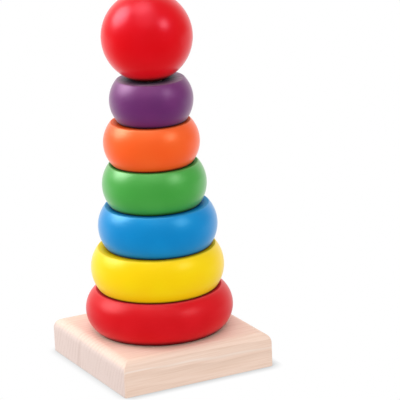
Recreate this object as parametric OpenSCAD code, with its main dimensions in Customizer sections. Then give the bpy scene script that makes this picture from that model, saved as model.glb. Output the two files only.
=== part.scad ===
// Stacking ring toy: a near-square board with a post, six loose rings and a ball that caps the stack.
// Millimetres. +Z up. Origin at the middle of the board's underside, where the toy stands.
// The long grain of the board runs along X, so its end grain faces -X and +X.

/* [Board] */
// side of the board along its grain
board_w = 65; // [62:0.5:75]
// side of the board across its grain
board_d = 66; // [62:0.5:75]
// thickness of the board
board_t = 14.1; // [12:0.1:18]
// radius that rounds over the top edges of the board
board_edge_r = 4.4; // [2:0.2:5]
// radius that eases the upright corners of the board
board_corner_r = 0.8; // [0.4:0.2:3]

/* [Post] */
// diameter of the turned post
post_d = 10; // [8:0.5:11]
// how deep the post is glued into the board
post_socket = 11; // [8:0.5:11]
// how far the post stands above the top ring, inside the ball
post_reach = 11.6; // [8:0.2:14]
// chamfer on both ends of the post
post_chamfer = 1; // [0.4:0.2:1.6]

/* [Rings] */
// height of every ring
ring_h = 16.9; // [15:0.1:18]
// radial play of the rings on the post
ring_play = 1; // [0.9:0.1:1.4]
// chamfer at both mouths of a ring's bore
bore_chamfer = 0.6; // [0.3:0.1:1]
// radius that rounds a ring's side over into its flat faces
rim_r = 0.8; // [0.5:0.1:2]
// outer diameter of the red ring
red_d = 58.7; // [56:0.1:61]
// outer diameter of the yellow ring
yellow_d = 52.9; // [51:0.1:56]
// outer diameter of the blue ring
blue_d = 47.3; // [45:0.1:50]
// outer diameter of the green ring
green_d = 41.3; // [40:0.1:44]
// outer diameter of the orange ring
orange_d = 38; // [36:0.1:40]
// outer diameter of the purple ring
purple_d = 33; // [31:0.1:35]
// how far the red ring's side swells past its flat faces
red_swell = 4.6; // [3:0.1:6]
// how far the sides of the yellow, blue and green rings swell
mid_swell = 3.4; // [2.4:0.1:4.2]
// how far the sides of the orange and purple rings swell
top_swell = 3.6; // [2.4:0.1:4.2]

/* [Resting play] */
// direction the loose rings have settled in, turned from +X
settle_dir = -26; // [-90:1:90]
// how far the red ring sits off the post's axis
red_off = -0.1; // [-0.8:0.05:0.8]
// how far the yellow ring sits off the post's axis
yellow_off = -0.1; // [-0.8:0.05:0.8]
// how far the blue ring sits off the post's axis
blue_off = 0.75; // [-0.8:0.05:0.8]
// how far the green ring sits off the post's axis
green_off = 0.2; // [-0.8:0.05:0.8]
// how far the orange ring sits off the post's axis
orange_off = -0.15; // [-0.8:0.05:0.8]
// how far the purple ring sits off the post's axis
purple_off = 0.55; // [-0.8:0.05:0.8]

/* [Ball] */
// diameter of the ball
ball_d = 35.7; // [34:0.1:38]
// depth of the flat turned on the ball's underside
ball_flat = 1.2; // [1.2:0.1:2]
// radial play between the ball's hole and the post
ball_play = 0.4; // [0.3:0.1:0.6]
// gap left between the end of the post and the end of the hole
hole_gap = 1.4; // [1:0.2:3]

/* [Hidden] */
$fn = 96;

// a little past a face, so that cuts run clean through it
over = 1;

bore_r = post_d / 2 + ring_play;
red_z = board_t;
yellow_z = red_z + ring_h;
blue_z = yellow_z + ring_h;
green_z = blue_z + ring_h;
orange_z = green_z + ring_h;
purple_z = orange_z + ring_h;
ball_z = purple_z + ring_h;
post_top = ball_z + post_reach;
post_bottom = board_t - post_socket;
ball_r = ball_d / 2;
ball_mid = ball_z + ball_r - ball_flat;
hole_r = post_d / 2 + ball_play;
hole_top = post_top + hole_gap;

wood = [0.9, 0.8, 0.68];
red = [0.83, 0.1, 0.13];
yellow = [0.98, 0.82, 0.06];
blue = [0.08, 0.5, 0.78];
green = [0.27, 0.64, 0.27];
orange = [0.97, 0.36, 0.14];
purple = [0.42, 0.19, 0.42];

// a side view of the board, as wide as given: square at the bottom, rounded over at the top
module board_profile(wide) {
    half = wide / 2;
    translate([-half, 0])
        square([wide, board_t - board_edge_r]);
    translate([-half + board_edge_r, 0])
        square([wide - 2 * board_edge_r, board_t]);
    for (s = [-1, 1])
        translate([s * (half - board_edge_r), board_t - board_edge_r])
            circle(board_edge_r);
}

// plan of the board, its corners barely eased
module board_plan() {
    inner_x = board_w / 2 - board_corner_r;
    inner_y = board_d / 2 - board_corner_r;
    square([board_w, 2 * inner_y], center = true);
    square([2 * inner_x, board_d], center = true);
    for (x = [-inner_x, inner_x], y = [-inner_y, inner_y])
        translate([x, y])
            circle(board_corner_r);
}

module base_board() {
    run = max(board_w, board_d) + 2 * over;
    color(wood)
        difference() {
            intersection() {
                linear_extrude(board_t)
                    board_plan();
                translate([0, run / 2, 0])
                    rotate([90, 0, 0])
                        linear_extrude(run)
                            board_profile(board_w);
                translate([-run / 2, 0, 0])
                    rotate([90, 0, 90])
                        linear_extrude(run)
                            board_profile(board_d);
            }
            translate([0, 0, post_bottom])
                cylinder(r = post_d / 2, h = post_socket + over);
        }
}

module post() {
    shank = post_top - post_bottom - 2 * post_chamfer;
    color(wood)
        union() {
            translate([0, 0, post_bottom])
                cylinder(r1 = post_d / 2 - post_chamfer, r2 = post_d / 2, h = post_chamfer);
            translate([0, 0, post_bottom + post_chamfer])
                cylinder(r = post_d / 2, h = shank);
            translate([0, 0, post_top - post_chamfer])
                cylinder(r1 = post_d / 2, r2 = post_d / 2 - post_chamfer, h = post_chamfer);
        }
}

// half section of a ring without its bore: a wide arc between two small rim arcs
module ring_section(r, swell) {
    half = ring_h / 2;
    rise = half - rim_r;
    arc_r = (rise * rise + swell * swell - rim_r * rim_r) / (2 * (swell - rim_r));
    arc_x = r - arc_r;
    rim_x = r - swell;
    lean = asin(rise / (arc_r - rim_r));
    join_x = arc_x + arc_r * cos(lean);
    join_z = arc_r * sin(lean);
    polygon([[0, -half], [rim_x, -half], [rim_x, -rise], [join_x, -join_z],
             [join_x, join_z], [rim_x, rise], [rim_x, half], [0, half]]);
    for (s = [-1, 1])
        translate([rim_x, s * rise])
            circle(rim_r);
    intersection() {
        translate([arc_x, 0])
            circle(arc_r);
        translate([rim_x, -join_z])
            square([swell + over, 2 * join_z]);
    }
}

module ring(d, swell, z, off) {
    mouth = bore_r + bore_chamfer;
    translate([off * cos(settle_dir), off * sin(settle_dir), z])
        difference() {
            translate([0, 0, ring_h / 2])
                rotate_extrude()
                    ring_section(d / 2, swell);
            translate([0, 0, -over])
                cylinder(r = bore_r, h = ring_h + 2 * over);
            cylinder(r1 = mouth, r2 = bore_r, h = bore_chamfer);
            translate([0, 0, ring_h - bore_chamfer])
                cylinder(r1 = bore_r, r2 = mouth, h = bore_chamfer);
        }
}

module ring_red() {
    color(red)
        ring(red_d, red_swell, red_z, red_off);
}

module ring_yellow() {
    color(yellow)
        ring(yellow_d, mid_swell, yellow_z, yellow_off);
}

module ring_blue() {
    color(blue)
        ring(blue_d, mid_swell, blue_z, blue_off);
}

module ring_green() {
    color(green)
        ring(green_d, mid_swell, green_z, green_off);
}

module ring_orange() {
    color(orange)
        ring(orange_d, top_swell, orange_z, orange_off);
}

module ring_purple() {
    color(purple)
        ring(purple_d, top_swell, purple_z, purple_off);
}

module ball() {
    mouth = hole_r + bore_chamfer;
    color(red)
        difference() {
            translate([0, 0, ball_mid])
                sphere(ball_r);
            translate([0, 0, ball_z - ball_r])
                cylinder(r = ball_r, h = ball_r);
            translate([0, 0, ball_z - over])
                cylinder(r = hole_r, h = hole_top - ball_z + over);
            translate([0, 0, ball_z])
                cylinder(r1 = mouth, r2 = hole_r, h = bore_chamfer);
        }
}

base_board();
post();
ring_red();
ring_yellow();
ring_blue();
ring_green();
ring_orange();
ring_purple();
ball();
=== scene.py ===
import math
import bpy
import bmesh
from mathutils import Matrix, Vector, noise


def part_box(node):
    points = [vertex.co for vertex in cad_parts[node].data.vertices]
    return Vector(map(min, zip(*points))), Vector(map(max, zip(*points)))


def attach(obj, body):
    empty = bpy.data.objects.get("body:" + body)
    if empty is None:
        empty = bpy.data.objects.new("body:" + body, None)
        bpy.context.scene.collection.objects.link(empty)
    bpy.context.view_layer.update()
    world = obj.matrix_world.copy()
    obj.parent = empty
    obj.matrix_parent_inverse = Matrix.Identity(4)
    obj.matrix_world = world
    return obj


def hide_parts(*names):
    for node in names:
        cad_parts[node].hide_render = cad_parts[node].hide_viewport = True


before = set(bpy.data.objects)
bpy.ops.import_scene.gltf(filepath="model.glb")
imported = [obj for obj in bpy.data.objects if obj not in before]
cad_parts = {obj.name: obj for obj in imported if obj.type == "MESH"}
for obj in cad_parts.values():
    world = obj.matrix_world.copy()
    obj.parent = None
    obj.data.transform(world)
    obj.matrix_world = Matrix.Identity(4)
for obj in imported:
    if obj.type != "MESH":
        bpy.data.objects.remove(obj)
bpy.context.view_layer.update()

mm = 0.001
onAxis = 1e-9   # metres; a point nearer to the axis than this lies on it
smoothly = {"interpolation_type": "SMOOTHSTEP"}
scene = bpy.context.scene
scene.view_settings.view_transform = "Standard"
print("frame loaded:", len(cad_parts), "nodes")


def linear(hexText):
    # sRGB hex to the linear colour that shaders take
    parts = [int(hexText[i:i + 2], 16) / 255 for i in (1, 3, 5)]
    return tuple(c / 12.92 if c <= 0.04045 else ((c + 0.055) / 1.055) ** 2.4 for c in parts) + (1.0,)


def addNode(tree, kind, settings=None, inputs=None):
    # each input takes a plain value, or the output of another node
    node = tree.nodes.new("ShaderNode" + kind)
    for key, value in (settings or {}).items():
        setattr(node, key, value)
    for key, given in (inputs or {}).items():
        if isinstance(given, bpy.types.NodeSocket):
            tree.links.new(given, node.inputs[key])
        else:
            node.inputs[key].default_value = given
    return node


def newMaterial(name):
    material = bpy.data.materials.new(name)
    material.use_nodes = True
    tree = material.node_tree
    tree.nodes.clear()
    return material, tree


cameraSpec = {
    "place": (-415.55, -861.06, 348.03),   # mm from the middle of the board's underside
    "turn": -26.83,                        # degrees about +Z
    "dip": 16.476,                         # degrees below level
    "roll": -2.475,                        # the view leans a little to one side
    "lens": 227.88, "sensor": 36,          # mm, a long studio lens
    "farthest": 20,                        # metres
}


def cameraAxes(spec):
    turn, dip, roll = (math.radians(spec[key]) for key in ("turn", "dip", "roll"))
    ahead = Vector((-math.sin(turn) * math.cos(dip), math.cos(turn) * math.cos(dip), -math.sin(dip)))
    side = Vector((math.cos(turn), math.sin(turn), 0))
    up = side.cross(ahead)
    leanSide = math.cos(roll) * side + math.sin(roll) * up
    leanUp = -math.sin(roll) * side + math.cos(roll) * up
    return leanSide, leanUp, -ahead


axes = cameraAxes(cameraSpec)
cameraData = bpy.data.cameras.new("camera")
cameraData.lens = cameraSpec["lens"]
cameraData.sensor_width = cameraSpec["sensor"]
cameraData.clip_end = cameraSpec["farthest"]
camera = bpy.data.objects.new("camera", cameraData)
scene.collection.objects.link(camera)
turnMatrix = Matrix(axes).transposed().to_4x4()
camera.matrix_world = Matrix.Translation(Vector(cameraSpec["place"]) * mm) @ turnMatrix
scene.camera = camera
print("camera placed")


# the studio: an even dome of soft light, soft boxes that only reflections see, and a white table
domeSpec = {"radius": 1.8, "glow": 1.03, "rows": 16, "steps": 48}
mirrorSpec = {
    # in reflections: a dark room ahead, pale walls behind, soft boxes with faded edges (degrees)
    "front": 0.0, "back": 1.3, "from": 0.25, "to": 0.9,
    "boxes": [
        {"towards": (-0.62, 0.46, 0.63), "inner": 4, "outer": 27, "glow": 14.5},
        {"towards": (0.397, -0.728, 0.559), "inner": 1, "outer": 14, "glow": 13.0},
        {"towards": (-0.21, -0.42, 0.88), "inner": 5, "outer": 36, "glow": 2.6},
        {"towards": (-0.106, 0.05, 0.994), "inner": 4, "outer": 26, "glow": 5.5},
    ],
}
tableSpec = {
    "half": 2.5,                       # metres
    "glow": 0.81,                      # lights the toy from below
    "reach": 5.0,                      # mm beside the board that the painted contact shadow reaches
    "openSide": (-0.35, 0.0, 0.94),    # the painted shadow is deeper on the right, as light comes from the left
    "openness": (0.45, 0.97), "shade": (0.62, 1.0), "samples": 24,
    # in reflections the table is dark far in front, grey around the toy and white behind it (metres)
    "besideFrom": (-0.24, -0.07), "besideGlow": 0.3, "behindFrom": (-0.04, 0.12), "behindGlow": 1.0,
}
sideLight = {"from": (-0.668, 0.509, 0.543), "away": 0.45, "size": 0.22, "watts": 0.6}
white = (1, 1, 1, 1)

world = bpy.data.worlds.new("mirroredRoom")
scene.world = world
world.use_nodes = True
world.cycles_visibility.diffuse = False
tree = world.node_tree
tree.nodes.clear()
ways = addNode(tree, "TexCoord").outputs["Generated"]
towardsBack = -Vector((axes[2].x, axes[2].y, 0)).normalized()
facing = addNode(tree, "VectorMath", {"operation": "DOT_PRODUCT"}, {0: ways, 1: towardsBack})
room = addNode(tree, "MapRange", smoothly, {
    "Value": facing.outputs["Value"], "From Min": mirrorSpec["from"], "From Max": mirrorSpec["to"],
    "To Min": mirrorSpec["front"], "To Max": mirrorSpec["back"]})
for box in mirrorSpec["boxes"]:
    towards = Vector(box["towards"]).normalized()
    near = addNode(tree, "VectorMath", {"operation": "DOT_PRODUCT"}, {0: ways, 1: towards})
    outer, inner = (math.cos(math.radians(box[key])) for key in ("outer", "inner"))
    spot = addNode(tree, "MapRange", smoothly, {
        "Value": near.outputs["Value"], "From Min": outer, "From Max": inner, "To Max": box["glow"]})
    room = addNode(tree, "Math", {"operation": "ADD"}, {0: room.outputs[0], 1: spot.outputs[0]})
mirrored = addNode(tree, "Background", None, {"Color": white, "Strength": room.outputs[0]})
plain = addNode(tree, "Background", None, {"Color": white, "Strength": 1.0})
rays = addNode(tree, "LightPath").outputs
shown = addNode(tree, "MixShader", None, {
    0: rays["Is Camera Ray"], 1: mirrored.outputs[0], 2: plain.outputs[0]})
addNode(tree, "OutputWorld", None, {"Surface": shown.outputs[0]})
print("reflections and backdrop made")


def meshObject(name, bm, place, sharpAngle=40):
    bmesh.ops.recalc_face_normals(bm, faces=bm.faces)
    for face in bm.faces:
        face.smooth = True
    for edge in bm.edges:
        if len(edge.link_faces) == 2 and edge.calc_face_angle(0) > math.radians(sharpAngle):
            edge.smooth = False
    mesh = bpy.data.meshes.new(name)
    bm.to_mesh(mesh)
    bm.free()
    piece = bpy.data.objects.new(name, mesh)
    piece.location = place
    scene.collection.objects.link(piece)
    return piece


def lathe(bm, outline, steps, marks, closed):
    # spins an outline of (radius, height) points; each point carries how much it pales at a rim,
    # from wear and a painted highlight, and how bare it is
    layers = [bm.verts.layers.float.new(name) for name in ("rimWearAndHighlight", "bare")]
    loops = []
    for (radius, height), mark in zip(outline, marks):
        if radius < onAxis:
            loop = [bm.verts.new((0, 0, height))]
        else:
            loop = []
            for i in range(steps):
                angle = 2 * math.pi * i / steps
                loop.append(bm.verts.new((radius * math.cos(angle), radius * math.sin(angle), height)))
        for vert in loop:
            for layer, value in zip(layers, mark):
                vert[layer] = value
        loops.append(loop)
    pairs = list(zip(loops, loops[1:]))
    if closed:
        pairs.append((loops[-1], loops[0]))
    for low, high in pairs:
        for i in range(steps):
            j = (i + 1) % steps
            if len(low) == 1:
                bm.faces.new((low[0], high[j], high[i]))
            elif len(high) == 1:
                bm.faces.new((low[i], low[j], high[0]))
            else:
                bm.faces.new((low[i], low[j], high[j], high[i]))


def arc(centreR, centreZ, radius, start, end, steps):
    points = []
    for i in range(steps + 1):
        angle = math.radians(start + (end - start) * i / steps)
        points.append((centreR + radius * math.cos(angle), centreZ + radius * math.sin(angle)))
    return points


def line(first, last, steps):
    # the points between two ends, without the ends
    points = []
    for i in range(1, steps):
        share = i / steps
        points.append((first[0] + (last[0] - first[0]) * share, first[1] + (last[1] - first[1]) * share))
    return points


domeLine = arc(0, 0, domeSpec["radius"], 90, 0, domeSpec["rows"])
domeMesh = bmesh.new()
lathe(domeMesh, domeLine, domeSpec["steps"], [(0, 0)] * len(domeLine), False)
dome = meshObject("light_dome", domeMesh, (0, 0, 0))
# an even glow that lights every side and is never itself seen
domeFinish, tree = newMaterial("evenSoftLight")
glow = addNode(tree, "Emission", None, {"Color": white, "Strength": domeSpec["glow"]})
addNode(tree, "OutputMaterial", None, {"Surface": glow.outputs[0]})
dome.data.materials.append(domeFinish)
dome.visible_camera = False
dome.visible_glossy = False
dome.visible_shadow = False

tableMesh = bpy.data.meshes.new("table")
half = tableSpec["half"]
corners = [(-half, -half, 0), (half, -half, 0), (half, half, 0), (-half, half, 0)]
tableMesh.from_pydata(corners, [], [(0, 1, 2, 3)])
table = bpy.data.objects.new("table", tableMesh)
scene.collection.objects.link(table)
# burnt-out white paper with a painted contact shadow that greys it right beside the board
tableFinish, tree = newMaterial("overlitWhitePaperPaintedShadow")
leaning = addNode(tree, "CombineXYZ", None, dict(enumerate(tableSpec["openSide"])))
near = addNode(tree, "AmbientOcclusion", {"samples": tableSpec["samples"]}, {
    "Distance": tableSpec["reach"] * mm, "Normal": leaning.outputs[0]})
closed, opened = tableSpec["openness"]
darkest, lightest = tableSpec["shade"]
shade = addNode(tree, "MapRange", None, {
    "Value": near.outputs["AO"], "From Min": closed, "From Max": opened,
    "To Min": darkest, "To Max": lightest})
depth = addNode(tree, "VectorMath", {"operation": "DOT_PRODUCT"}, {
    0: addNode(tree, "TexCoord").outputs["Object"], 1: towardsBack})
bands = []
for key in ("beside", "behind"):
    start, end = tableSpec[key + "From"]
    bands.append(addNode(tree, "MapRange", smoothly, {
        "Value": depth.outputs["Value"], "From Min": start, "From Max": end,
        "To Max": tableSpec[key + "Glow"]}))
inMirror = addNode(tree, "Math", {"operation": "ADD"}, {0: bands[0].outputs[0], 1: bands[1].outputs[0]})
glows = []
for strength in (tableSpec["glow"], shade.outputs[0], inMirror.outputs[0]):
    glows.append(addNode(tree, "Emission", None, {"Color": white, "Strength": strength}).outputs[0])
rays = addNode(tree, "LightPath").outputs
toCamera = addNode(tree, "MixShader", None, {0: rays["Is Camera Ray"], 1: glows[0], 2: glows[1]})
toAll = addNode(tree, "MixShader", None, {0: rays["Is Glossy Ray"], 1: toCamera.outputs[0], 2: glows[2]})
addNode(tree, "OutputMaterial", None, {"Surface": toAll.outputs[0]})
tableMesh.materials.append(tableFinish)

lamp = bpy.data.lights.new("sideLight", "AREA")
lamp.size = sideLight["size"]
lamp.energy = sideLight["watts"]
holder = bpy.data.objects.new("sideLight", lamp)
scene.collection.objects.link(holder)
direction = Vector(sideLight["from"]).normalized()
holder.location = direction * sideLight["away"]
holder.rotation_euler = direction.to_track_quat("Z", "Y").to_euler()
holder.visible_camera = False
holder.visible_glossy = False
print("table, dome and side light made")


# raw beech, planed and sanded: pale peach, silky and matt, with leaning growth rings and a pinker end grain
beech = {
    "side": "#f9ddcb", "end": "#e6d2ca", "shine": "#c0dfff",
    "ringGap": 2.3, "ringRise": (0.3, 0.9), "lean": 22, "sway": 1.6,   # mm, share of a ring, degrees, mm
    "paleSheet": (-27.2, 0.32), "darkSheet": (10.2, 1.7),              # mm across the grain, and how wide
    # mm along and across the grain, and detail; real fibres are finer, drawn coarser so that they still show
    "noises": {"sway": (38, 16, 1.0), "patch": (60, 7, 1.0), "fibre": (18, 0.35, 2.0)},
    "noiseRoughness": 0.55, "patchRange": (0.35, 0.65), "ringShow": (0.05, 0.5), "fibreRange": (0.3, 0.7),
    # what lies over the plain colour, how strongly, in which tone and by which way of mixing
    "sideLayers": [("rings", 1.0, "#e8c8b3", "MIX"), ("paleSheet", 0.5, "#fff0e6", "MIX"),
                   ("fibre", 0.34, "#ead9cb", "MULTIPLY")],
    "endLayers": [("rings", 1.0, "#d6bfb5", "MIX"), ("darkSheet", 0.55, "#d6bfb5", "MIX"),
                  ("fibre", 0.25, "#e6d8d0", "MULTIPLY")],
    "endRange": (0.75, 0.98),
    "ior": 1.45, "level": 0.2, "roughness": (0.5, 0.62), "relief": 0.02, "reliefShare": 0.6,
}


def rawWood(name, tones, along):
    # solid wood drawn through the piece, its fibres along one axis
    material, tree = newMaterial(name)
    coords = addNode(tree, "TexCoord")
    grain = addNode(tree, "Mapping", None, {
        "Vector": coords.outputs["Object"], "Rotation": along, "Scale": (1 / mm, 1 / mm, 1 / mm)}).outputs[0]
    noises = {}
    for key, (lengthways, crossways, detail) in tones["noises"].items():
        scaled = addNode(tree, "VectorMath", {"operation": "MULTIPLY"}, {
            0: grain, 1: (1 / lengthways, 1 / crossways, 1 / crossways)})
        noises[key] = addNode(tree, "TexNoise", None, {
            "Vector": scaled.outputs[0], "Scale": 1.0, "Detail": detail,
            "Roughness": tones["noiseRoughness"]})

    # how far across the growth rings a point lies, in mm
    lean = math.radians(tones["lean"])
    across = addNode(tree, "VectorMath", {"operation": "DOT_PRODUCT"}, {
        0: grain, 1: (0.0, math.cos(lean), math.sin(lean))})
    centred = addNode(tree, "Math", {"operation": "SUBTRACT"}, {0: noises["sway"].outputs[0], 1: 0.5})
    sheet = addNode(tree, "Math", {"operation": "MULTIPLY_ADD"}, {
        0: centred.outputs[0], 1: 2 * tones["sway"], 2: across.outputs["Value"]}).outputs[0]

    # each ring darkens slowly and ends sharply, as late wood does
    counted = addNode(tree, "Math", {"operation": "DIVIDE"}, {0: sheet, 1: tones["ringGap"]})
    within = addNode(tree, "Math", {"operation": "FRACT"}, {0: counted.outputs[0]}).outputs[0]
    start, full = tones["ringRise"]
    rising = addNode(tree, "MapRange", smoothly, {"Value": within, "From Min": start, "From Max": full})
    ending = addNode(tree, "MapRange", smoothly, {
        "Value": within, "From Min": full, "From Max": 1.0, "To Min": 1.0, "To Max": 0.0})
    lateWood = addNode(tree, "Math", {"operation": "MULTIPLY"}, {0: rising.outputs[0], 1: ending.outputs[0]})
    low, high = tones["patchRange"]
    faintest, strongest = tones["ringShow"]
    patch = addNode(tree, "MapRange", smoothly, {
        "Value": noises["patch"].outputs[0], "From Min": low, "From Max": high,
        "To Min": faintest, "To Max": strongest})
    rings = addNode(tree, "Math", {"operation": "MULTIPLY"}, {0: lateWood.outputs[0], 1: patch.outputs[0]})
    low, high = tones["fibreRange"]
    fibre = addNode(tree, "MapRange", smoothly, {
        "Value": noises["fibre"].outputs[0], "From Min": low, "From Max": high})
    shares = {"rings": rings.outputs[0], "fibre": fibre.outputs[0]}
    for key in ("paleSheet", "darkSheet"):
        middle, width = tones[key]
        off = addNode(tree, "Math", {"operation": "SUBTRACT"}, {0: sheet, 1: middle})
        away = addNode(tree, "Math", {"operation": "ABSOLUTE"}, {0: off.outputs[0]})
        shares[key] = addNode(tree, "MapRange", smoothly, {
            "Value": away.outputs[0], "From Max": width, "To Min": 1.0, "To Max": 0.0}).outputs[0]

    colours = {}
    for face in ("side", "end"):
        colours[face] = linear(tones[face])
        for what, strength, tone, way in tones[face + "Layers"]:
            share = addNode(tree, "Math", {"operation": "MULTIPLY"}, {0: shares[what], 1: strength})
            colours[face] = addNode(tree, "Mix", {"data_type": "RGBA", "blend_type": way}, {
                0: share.outputs[0], 6: colours[face], 7: linear(tone)}).outputs[2]

    # end grain drinks the light differently and shows its rings more
    normalAlong = addNode(tree, "Mapping", {"vector_type": "NORMAL"}, {
        "Vector": coords.outputs["Normal"], "Rotation": along})
    endways = addNode(tree, "SeparateXYZ", None, {0: normalAlong.outputs[0]})
    facing = addNode(tree, "Math", {"operation": "ABSOLUTE"}, {0: endways.outputs[0]})
    low, high = tones["endRange"]
    endShow = addNode(tree, "MapRange", smoothly, {
        "Value": facing.outputs[0], "From Min": low, "From Max": high})
    colour = addNode(tree, "Mix", {"data_type": "RGBA"}, {
        0: endShow.outputs[0], 6: colours["side"], 7: colours["end"]})
    relief = addNode(tree, "Bump", None, {
        "Strength": tones["reliefShare"], "Distance": tones["relief"] * mm, "Height": fibre.outputs[0]})
    smoothest, roughest = tones["roughness"]
    roughness = addNode(tree, "MapRange", None, {
        "Value": fibre.outputs[0], "To Min": smoothest, "To Max": roughest})
    shader = addNode(tree, "BsdfPrincipled", {"distribution": "GGX"}, {
        "Base Color": colour.outputs[2], "Roughness": roughness.outputs[0], "Normal": relief.outputs[0],
        "IOR": tones["ior"], "Specular IOR Level": tones["level"], "Specular Tint": linear(tones["shine"])})
    addNode(tree, "OutputMaterial", None, {"Surface": shader.outputs[0]})
    return material


# satin lacquer, dipped and rubbed down on turned wood: one even, soft-shining colour with faint streaks
# of the grain beneath, a low waviness, rims pale from wear and a painted highlight, painted shade in seams
lacquer = {
    "ior": 1.5, "hazeRough": 0.4,
    # mm, and the range that shows; real pores are finer, drawn coarser so that they still show
    "streak": 0.8, "streakLength": 14, "streakRoughness": 0.6, "streakRange": (0.42, 0.68),
    "mottle": 9, "mottleDetail": 0.5, "mottleRange": (0.2, 0.8), "duller": 0.06,
    # how upright a flat face is, and how much the rims pale from wear and a painted highlight
    "flatRange": (0.8, 1.0), "rimWornAndLitShow": 0.3,
    # mm that the painted seam shade reaches, how dark it gets, its occlusion range and samples; then the
    # dull flats
    "seam": 4.5, "seamTone": 0.1, "seamRange": (0.1, 0.66), "seamSamples": 12, "dullRange": (0.82, 1.0),
    "peel": 1.1, "relief": 0.012, "reliefShare": 0.5, "streakHeight": 0.6,
    "bare": "#dcb98f",   # the unpainted wood inside the bores
}


def satinPaint(name, feel, tones):
    material, tree = newMaterial(name)
    coords = addNode(tree, "TexCoord")
    place = addNode(tree, "VectorMath", {"operation": "SCALE"}, {
        0: coords.outputs["Object"], "Scale": 1 / mm}).outputs[0]
    grain = addNode(tree, "VectorMath", {"operation": "MULTIPLY"}, {
        0: place, 1: (1 / feel["streakLength"], 1 / feel["streak"], 1 / feel["streak"])})
    streak = addNode(tree, "TexNoise", None, {
        "Vector": grain.outputs[0], "Scale": 1.0, "Detail": 2.0, "Roughness": feel["streakRoughness"]})
    low, high = feel["streakRange"]
    streakLine = addNode(tree, "MapRange", smoothly, {
        "Value": streak.outputs[0], "From Min": low, "From Max": high})
    cloud = addNode(tree, "TexNoise", None, {
        "Vector": place, "Scale": 1 / feel["mottle"], "Detail": feel["mottleDetail"]})
    low, high = feel["mottleRange"]
    cloudy = addNode(tree, "MapRange", smoothly, {
        "Value": cloud.outputs[0], "From Min": low, "From Max": high})
    body = addNode(tree, "Mix", {"data_type": "RGBA"}, {
        0: cloudy.outputs[0], 6: linear(tones["deep"]), 7: linear(tones["full"])})

    # the flat faces drink more paint, so streaks show there first, and rims pale:
    # partly rubbed thin, partly a painted highlight
    upness = addNode(tree, "SeparateXYZ", None, {0: coords.outputs["Normal"]})
    flatness = addNode(tree, "Math", {"operation": "ABSOLUTE"}, {0: upness.outputs[2]}).outputs[0]
    low, high = feel["flatRange"]
    flatShow = addNode(tree, "MapRange", smoothly, {
        "Value": flatness, "From Min": low, "From Max": high, "To Max": tones["streaks"]})
    rimWornAndLit = addNode(tree, "Attribute", {"attribute_name": "rimWearAndHighlight"})
    rimWornAndLitShow = addNode(tree, "Math", {"operation": "MULTIPLY"}, {
        0: rimWornAndLit.outputs["Fac"], 1: feel["rimWornAndLitShow"]})
    thinPaintAndRimHighlight = addNode(tree, "Math", {"operation": "MULTIPLY_ADD", "use_clamp": True}, {
        0: streakLine.outputs[0], 1: flatShow.outputs[0], 2: rimWornAndLitShow.outputs[0]})
    coated = addNode(tree, "Mix", {"data_type": "RGBA"}, {
        0: thinPaintAndRimHighlight.outputs[0], 6: body.outputs[2], 7: linear(tones["thinPaintAndHighlight"])})
    bare = addNode(tree, "Attribute", {"attribute_name": "bare"})
    colour = addNode(tree, "Mix", {"data_type": "RGBA"}, {
        0: bare.outputs["Fac"], 6: coated.outputs[2], 7: linear(feel["bare"])}).outputs[2]

    # painted shade: ambient occlusion darkens and deepens the colour where two pieces meet
    crevice = addNode(tree, "AmbientOcclusion", {"samples": feel["seamSamples"]}, {
        "Distance": feel["seam"] * mm})
    low, high = feel["seamRange"]
    openness = addNode(tree, "MapRange", smoothly, {
        "Value": crevice.outputs["AO"], "From Min": low, "From Max": high,
        "To Min": feel["seamTone"]}).outputs[0]
    paintedSeamShade = addNode(tree, "VectorMath", {"operation": "SCALE"}, {0: colour, "Scale": feel["seamTone"]})
    seamTint = addNode(tree, "Mix", {"data_type": "RGBA"}, {0: openness, 6: paintedSeamShade.outputs[0], 7: white})
    shaded = addNode(tree, "VectorMath", {"operation": "MULTIPLY"}, {0: colour, 1: seamTint.outputs[2]})

    # the flat faces are duller than the turned sides, and in the seams the shine fades as painted shade
    low, high = feel["dullRange"]
    dull = addNode(tree, "MapRange", smoothly, {
        "Value": flatness, "From Min": low, "From Max": high, "To Min": 1.0, "To Max": tones["flatShine"]})
    shining = addNode(tree, "Math", {"operation": "MULTIPLY"}, {0: dull.outputs[0], 1: openness})
    shine = {}
    for key in ("level", "coat", "haze"):
        share = addNode(tree, "Math", {"operation": "MULTIPLY"}, {0: shining.outputs[0], 1: tones[key]})
        shine[key] = share.outputs[0]

    peel = addNode(tree, "TexNoise", None, {"Vector": place, "Scale": 1 / feel["peel"], "Detail": 1.0})
    height = addNode(tree, "Math", {"operation": "MULTIPLY_ADD"}, {
        0: streakLine.outputs[0], 1: feel["streakHeight"], 2: peel.outputs[0]})
    relief = addNode(tree, "Bump", None, {
        "Strength": feel["reliefShare"], "Distance": feel["relief"] * mm, "Height": height.outputs[0]})
    gloss = addNode(tree, "MapRange", None, {
        "Value": cloudy.outputs[0], "To Min": tones["rough"], "To Max": tones["rough"] + feel["duller"]})
    shader = addNode(tree, "BsdfPrincipled", {"distribution": "GGX"}, {
        "Base Color": shaded.outputs[0], "Roughness": gloss.outputs[0], "Normal": relief.outputs[0],
        "IOR": feel["ior"], "Specular IOR Level": shine["level"], "Specular Tint": linear(tones["shine"]),
        "Coat Weight": shine["coat"], "Coat IOR": feel["ior"], "Coat Roughness": tones["coatRough"],
        "Sheen Weight": shine["haze"], "Sheen Roughness": feel["hazeRough"]})
    addNode(tree, "OutputMaterial", None, {"Surface": shader.outputs[0]})
    return material


boardSpec = {
    "edge": 4.4, "corner": 0.8, "foot": 0.4,   # mm, the roundings above, at the corners and below
    "leastCorner": 0.02,                       # mm, so that no corner closes to a point
    "socket": 5.02, "socketDepth": 11.0,       # mm, a blind round hole for the post
    "underMiddle": 2.0,                        # mm, where the underside closes to a small disc
    "cornerSteps": 6, "alongSteps": 30, "footSteps": 4, "sideSteps": 12, "edgeSteps": 12,
    "topSteps": 10, "underSteps": 8,
}


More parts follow.
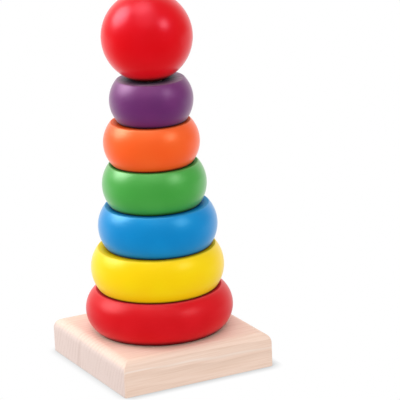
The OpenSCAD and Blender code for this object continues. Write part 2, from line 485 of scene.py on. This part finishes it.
def boardLoop(bm, spec, halfX, halfY, corner, height):
    # one rounded-square loop, anticlockwise from the +X side
    corner = max(corner, spec["leastCorner"] * mm)
    perCorner, perSide = spec["cornerSteps"], spec["alongSteps"]
    points = []
    for signX, signY, start in ((1, 1, 0), (-1, 1, 90), (-1, -1, 180), (1, -1, 270)):
        middle = Vector((signX * (halfX - corner), signY * (halfY - corner)))
        for i in range(perCorner + 1):
            angle = math.radians(start + 90 * i / perCorner)
            points.append(middle + corner * Vector((math.cos(angle), math.sin(angle))))
    loop = []
    for i, point in enumerate(points):
        loop.append(point)
        if i % (perCorner + 1) == perCorner:
            after = points[(i + 1) % len(points)]
            loop += [point.lerp(after, k / perSide) for k in range(1, perSide)]
    return [bm.verts.new((p.x, p.y, height)) for p in loop]


def shrunkLoop(bm, rim, height, radius, share):
    # a loop part of the way from the rim to a circle
    loop = []
    for point in rim:
        flat = Vector((point.x, point.y))
        inner = flat.lerp(flat.normalized() * radius, share)
        loop.append(bm.verts.new((inner.x, inner.y, height)))
    return loop


def makeBoard(name, spec):
    low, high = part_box("base_board")
    halfX, halfY, top = (high.x - low.x) / 2, (high.y - low.y) / 2, high.z
    edge, corner, foot = spec["edge"] * mm, spec["corner"] * mm, spec["foot"] * mm
    levels = []
    for i in range(spec["footSteps"] + 1):
        angle = math.radians(90 * i / spec["footSteps"])
        levels.append((foot * (1 - math.sin(angle)), foot * (1 - math.cos(angle))))
    for i in range(1, spec["sideSteps"] + 1):
        levels.append((0.0, foot + (top - edge - foot) * i / spec["sideSteps"]))
    for i in range(1, spec["edgeSteps"] + 1):
        angle = math.radians(90 * i / spec["edgeSteps"])
        levels.append((edge * (1 - math.cos(angle)), top - edge + edge * math.sin(angle)))
    bm = bmesh.new()
    loops = []
    for inset, height in levels:
        loops.append(boardLoop(bm, spec, halfX - inset, halfY - inset, corner - inset, height))
    topRim = [vert.co.copy() for vert in loops[-1]]
    footRim = [vert.co.copy() for vert in loops[0]]

    socket, floor = spec["socket"] * mm, top - spec["socketDepth"] * mm
    for i in range(1, spec["topSteps"] + 1):
        loops.append(shrunkLoop(bm, topRim, top, socket, i / spec["topSteps"]))
    loops.append(shrunkLoop(bm, topRim, (top + floor) / 2, socket, 1))
    loops.append(shrunkLoop(bm, topRim, floor, socket, 1))
    loops.append(shrunkLoop(bm, topRim, floor, socket / 2, 1))
    under = [loops[0]]
    for i in range(1, spec["underSteps"] + 1):
        under.append(shrunkLoop(bm, footRim, 0, spec["underMiddle"] * mm, i / spec["underSteps"]))
    for first, second in list(zip(loops, loops[1:])) + list(zip(under, under[1:])):
        for i in range(len(first)):
            j = (i + 1) % len(first)
            bm.faces.new((first[i], first[j], second[j], second[i]))
    for loop, height in ((loops[-1], floor), (under[-1], 0)):
        middle = bm.verts.new((0, 0, height))
        for i in range(len(loop)):
            bm.faces.new((loop[i], loop[(i + 1) % len(loop)], middle))
    return meshObject(name, bm, (0, 0, 0))


board = makeBoard("board", boardSpec)
boardWood = rawWood("sandedBeech", beech, (0, 0, 0))
board.data.materials.append(boardWood)
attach(board, "stand")
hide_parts("base_board")
print("board made")


postSpec = {
    "round": 1.0, "roundSteps": 6, "alongSteps": 24, "steps": 72,   # mm, and how finely it is turned
    "tones": {"ringGap": 1.6, "lean": 35, "paleSheet": (9.0, 0.2), "darkSheet": (9.0, 0.2)},
}


def makePost(name, spec):
    low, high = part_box("post")
    radius, easing = (high.x - low.x) / 2, spec["round"] * mm
    outline = [(0, low.z)]
    outline += arc(radius - easing, low.z + easing, easing, -90, 0, spec["roundSteps"])
    outline += line((radius, low.z + easing), (radius, high.z - easing), spec["alongSteps"])
    outline += arc(radius - easing, high.z - easing, easing, 0, 90, spec["roundSteps"])
    outline.append((0, high.z))
    bm = bmesh.new()
    lathe(bm, outline, spec["steps"], [(0, 0)] * len(outline), False)
    return meshObject(name, bm, (0, 0, 0))


post = makePost("post_dowel", postSpec)
postWood = rawWood("turnedBeechDowel", dict(beech, **postSpec["tones"]), (0, math.radians(90), 0))
post.data.materials.append(postWood)
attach(post, "stand")
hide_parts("post")
print("post made")


ringShape = {
    "bore": 6.0, "mouth": 0.6, "rim": 0.8,   # mm, radii of the bore, its rounded mouth and the outer rims
    "rimSteps": 8, "sideSteps": 30, "flatSteps": 8, "mouthSteps": 5, "boreSteps": 8, "steps": 144,
    "rimWornAndLitReach": 0.9,                        # of the rim's radius
    "bareMargin": 0.1,                       # mm, how far paint creeps into the bore
    "sanding": 0.05, "sandingSpan": 11,      # mm, how deep at most and how wide each hollow is
    "seedSteps": (3.7, 1.3, 2.1),            # each ring's seed moves the hollows this far along x, y and z
    "trueFrom": 0.9,                         # how upright a normal is on the flat faces
    "film": 0.01,                            # mm, so that two flat faces at rest never coincide
}
ringSpecs = {
    "red": {
        "swell": 4.6, "seed": 7.6, "full": "#dc131d", "deep": "#d60d17", "thinPaintAndHighlight": "#e2606a",
        "shine": "#ffc0d0", "level": 0.05, "rough": 0.3, "coat": 0.1, "coatRough": 0.3, "haze": 0.12,
        "flatShine": 0.08, "streaks": 0.35},
    "yellow": {
        "swell": 3.4, "seed": 9.4, "full": "#ffd900", "deep": "#ffd400", "thinPaintAndHighlight": "#ffdc40",
        "shine": "#ffe040", "level": 0.15, "rough": 0.32, "coat": 0.16, "coatRough": 0.3, "haze": 0.08,
        "flatShine": 0.08, "streaks": 0.35},
    "blue": {
        "swell": 3.4, "seed": 7.4, "full": "#008bd2", "deep": "#0086cd", "thinPaintAndHighlight": "#4fa0d2",
        "shine": "#58fff4", "level": 0.25, "rough": 0.32, "coat": 0.22, "coatRough": 0.3, "haze": 0.1,
        "flatShine": 0.08, "streaks": 0.35},
    "green": {
        "swell": 3.4, "seed": 8.4, "full": "#43a93f", "deep": "#3fa53b", "thinPaintAndHighlight": "#74ba6c",
        "shine": "#f0ffe8", "level": 0.3, "rough": 0.34, "coat": 0.26, "coatRough": 0.3, "haze": 0.26,
        "flatShine": 0.08, "streaks": 0.35},
    "orange": {
        "swell": 3.6, "seed": 9.6, "full": "#ff5e1c", "deep": "#ff5a18", "thinPaintAndHighlight": "#fd8a56",
        "shine": "#ffffa0", "level": 0.25, "rough": 0.34, "coat": 0.2, "coatRough": 0.3, "haze": 0.14,
        "flatShine": 0.08, "streaks": 0.35},
    "purple": {
        "swell": 3.6, "seed": 9.6, "full": "#70206c", "deep": "#681e68", "thinPaintAndHighlight": "#8c6892",
        "shine": "#ffd0ff", "level": 0.36, "rough": 0.44, "coat": 0.2, "coatRough": 0.3, "haze": 0.42,
        "flatShine": 0.6, "streaks": 0.8},
}


def makeRing(name, node, shape, swell):
    low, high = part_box(node)
    outer, half = (high.x - low.x) / 2, (high.z - low.z) / 2
    rim, bore, mouth, swell = shape["rim"] * mm, shape["bore"] * mm, shape["mouth"] * mm, swell * mm
    # one wide arc for the side, tangent to a small one at each rim
    rise = half - rim
    wide = (rise * rise + swell * swell - rim * rim) / (2 * (swell - rim))
    lean = math.degrees(math.asin(rise / (wide - rim)))
    flat = outer - swell
    outline = arc(flat, -rise, rim, -90, -lean, shape["rimSteps"])
    outline += arc(outer - wide, 0, wide, -lean, lean, shape["sideSteps"])[1:-1]
    outline += arc(flat, rise, rim, lean, 90, shape["rimSteps"])
    outline += line((flat, half), (bore + mouth, half), shape["flatSteps"])
    outline += arc(bore + mouth, half - mouth, mouth, 90, 180, shape["mouthSteps"])
    outline += line((bore, half - mouth), (bore, mouth - half), shape["boreSteps"])
    outline += arc(bore + mouth, mouth - half, mouth, 180, 270, shape["mouthSteps"])
    outline += line((bore + mouth, -half), (flat, -half), shape["flatSteps"])
    # rims pale, partly from wear and partly as a painted highlight
    marks = []
    for radius, height in outline:
        fromRim = (radius - flat) ** 2 + (abs(height) - half) ** 2
        rimWornAndLit = math.exp(-fromRim / (shape["rimWornAndLitReach"] * rim) ** 2)
        inBore = radius < bore + shape["bareMargin"] * mm and abs(height) < half - 2 * mouth
        marks.append((rimWornAndLit, 1.0 if inBore else 0.0))
    bm = bmesh.new()
    lathe(bm, outline, shape["steps"], marks, True)
    return meshObject(name, bm, (low + high) / 2)


def handSanded(piece, shape, seed):
    # sinks the turned sides a little by smooth noise, as sanding by hand leaves them; flat faces stay true
    mesh = piece.data
    shift = Vector([seed * step for step in shape["seedSteps"]])
    amount, span, film = (shape[key] * mm for key in ("sanding", "sandingSpan", "film"))
    normals = [vert.normal.copy() for vert in mesh.vertices]
    for vert, normal in zip(mesh.vertices, normals):
        if abs(normal.z) < shape["trueFrom"]:
            vert.co -= normal * amount * (0.5 + 0.5 * noise.noise(vert.co / span + shift))
        else:
            vert.co.z -= math.copysign(film, normal.z)


for colour, spec in ringSpecs.items():
    ring = makeRing(colour + "_ring_turned", "ring_" + colour, ringShape, spec["swell"])
    handSanded(ring, ringShape, spec["seed"])
    ring.data.materials.append(satinPaint(colour + "SatinLacquer", lacquer, spec))
    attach(ring, colour + "_ring")
    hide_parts("ring_" + colour)
    print(colour, "ring made")


ballSpec = {
    "flat": 1.2, "hole": 5.4, "holeTop": 13.0, "mouth": 0.6, "bareMargin": 0.1,   # mm, flat ground off below
    "roundSteps": 60, "flatSteps": 3, "mouthSteps": 5, "holeSteps": 8, "steps": 160,
    "full": "#e60006", "deep": "#e20004", "thinPaintAndHighlight": "#f0626c", "shine": "#ffb8ff",
    "level": 0.14, "rough": 0.28, "coat": 0.15, "coatRough": 0.2, "haze": 0.09, "flatShine": 1.0,
    "streaks": 0.18,
}


def makeBall(name, spec):
    low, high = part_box("ball")
    radius = (high.z - low.z + spec["flat"] * mm) / 2
    centre = high.z - radius
    floor = low.z - centre
    hole, mouth, top = spec["hole"] * mm, spec["mouth"] * mm, spec["holeTop"] * mm
    start = math.degrees(math.asin(floor / radius))
    outline = arc(0, 0, radius, 90, start, spec["roundSteps"])
    outline += line(outline[-1], (hole + mouth, floor), spec["flatSteps"])
    outline += arc(hole + mouth, floor + mouth, mouth, 270, 180, spec["mouthSteps"])
    outline += line((hole, floor + mouth), (hole, floor + top), spec["holeSteps"])
    outline += [(hole, floor + top), (0, floor + top)]
    margin = spec["bareMargin"] * mm
    marks = [(0.0, 1.0 if r < hole + margin and height < 0 else 0.0) for r, height in outline]
    bm = bmesh.new()
    lathe(bm, outline, spec["steps"], marks, False)
    return meshObject(name, bm, (0, 0, centre))


ball = makeBall("ball_turned", ballSpec)
ball.data.materials.append(satinPaint("ballRedLacquer", lacquer, ballSpec))
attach(ball, "ball")
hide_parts("ball")
print("ball made")
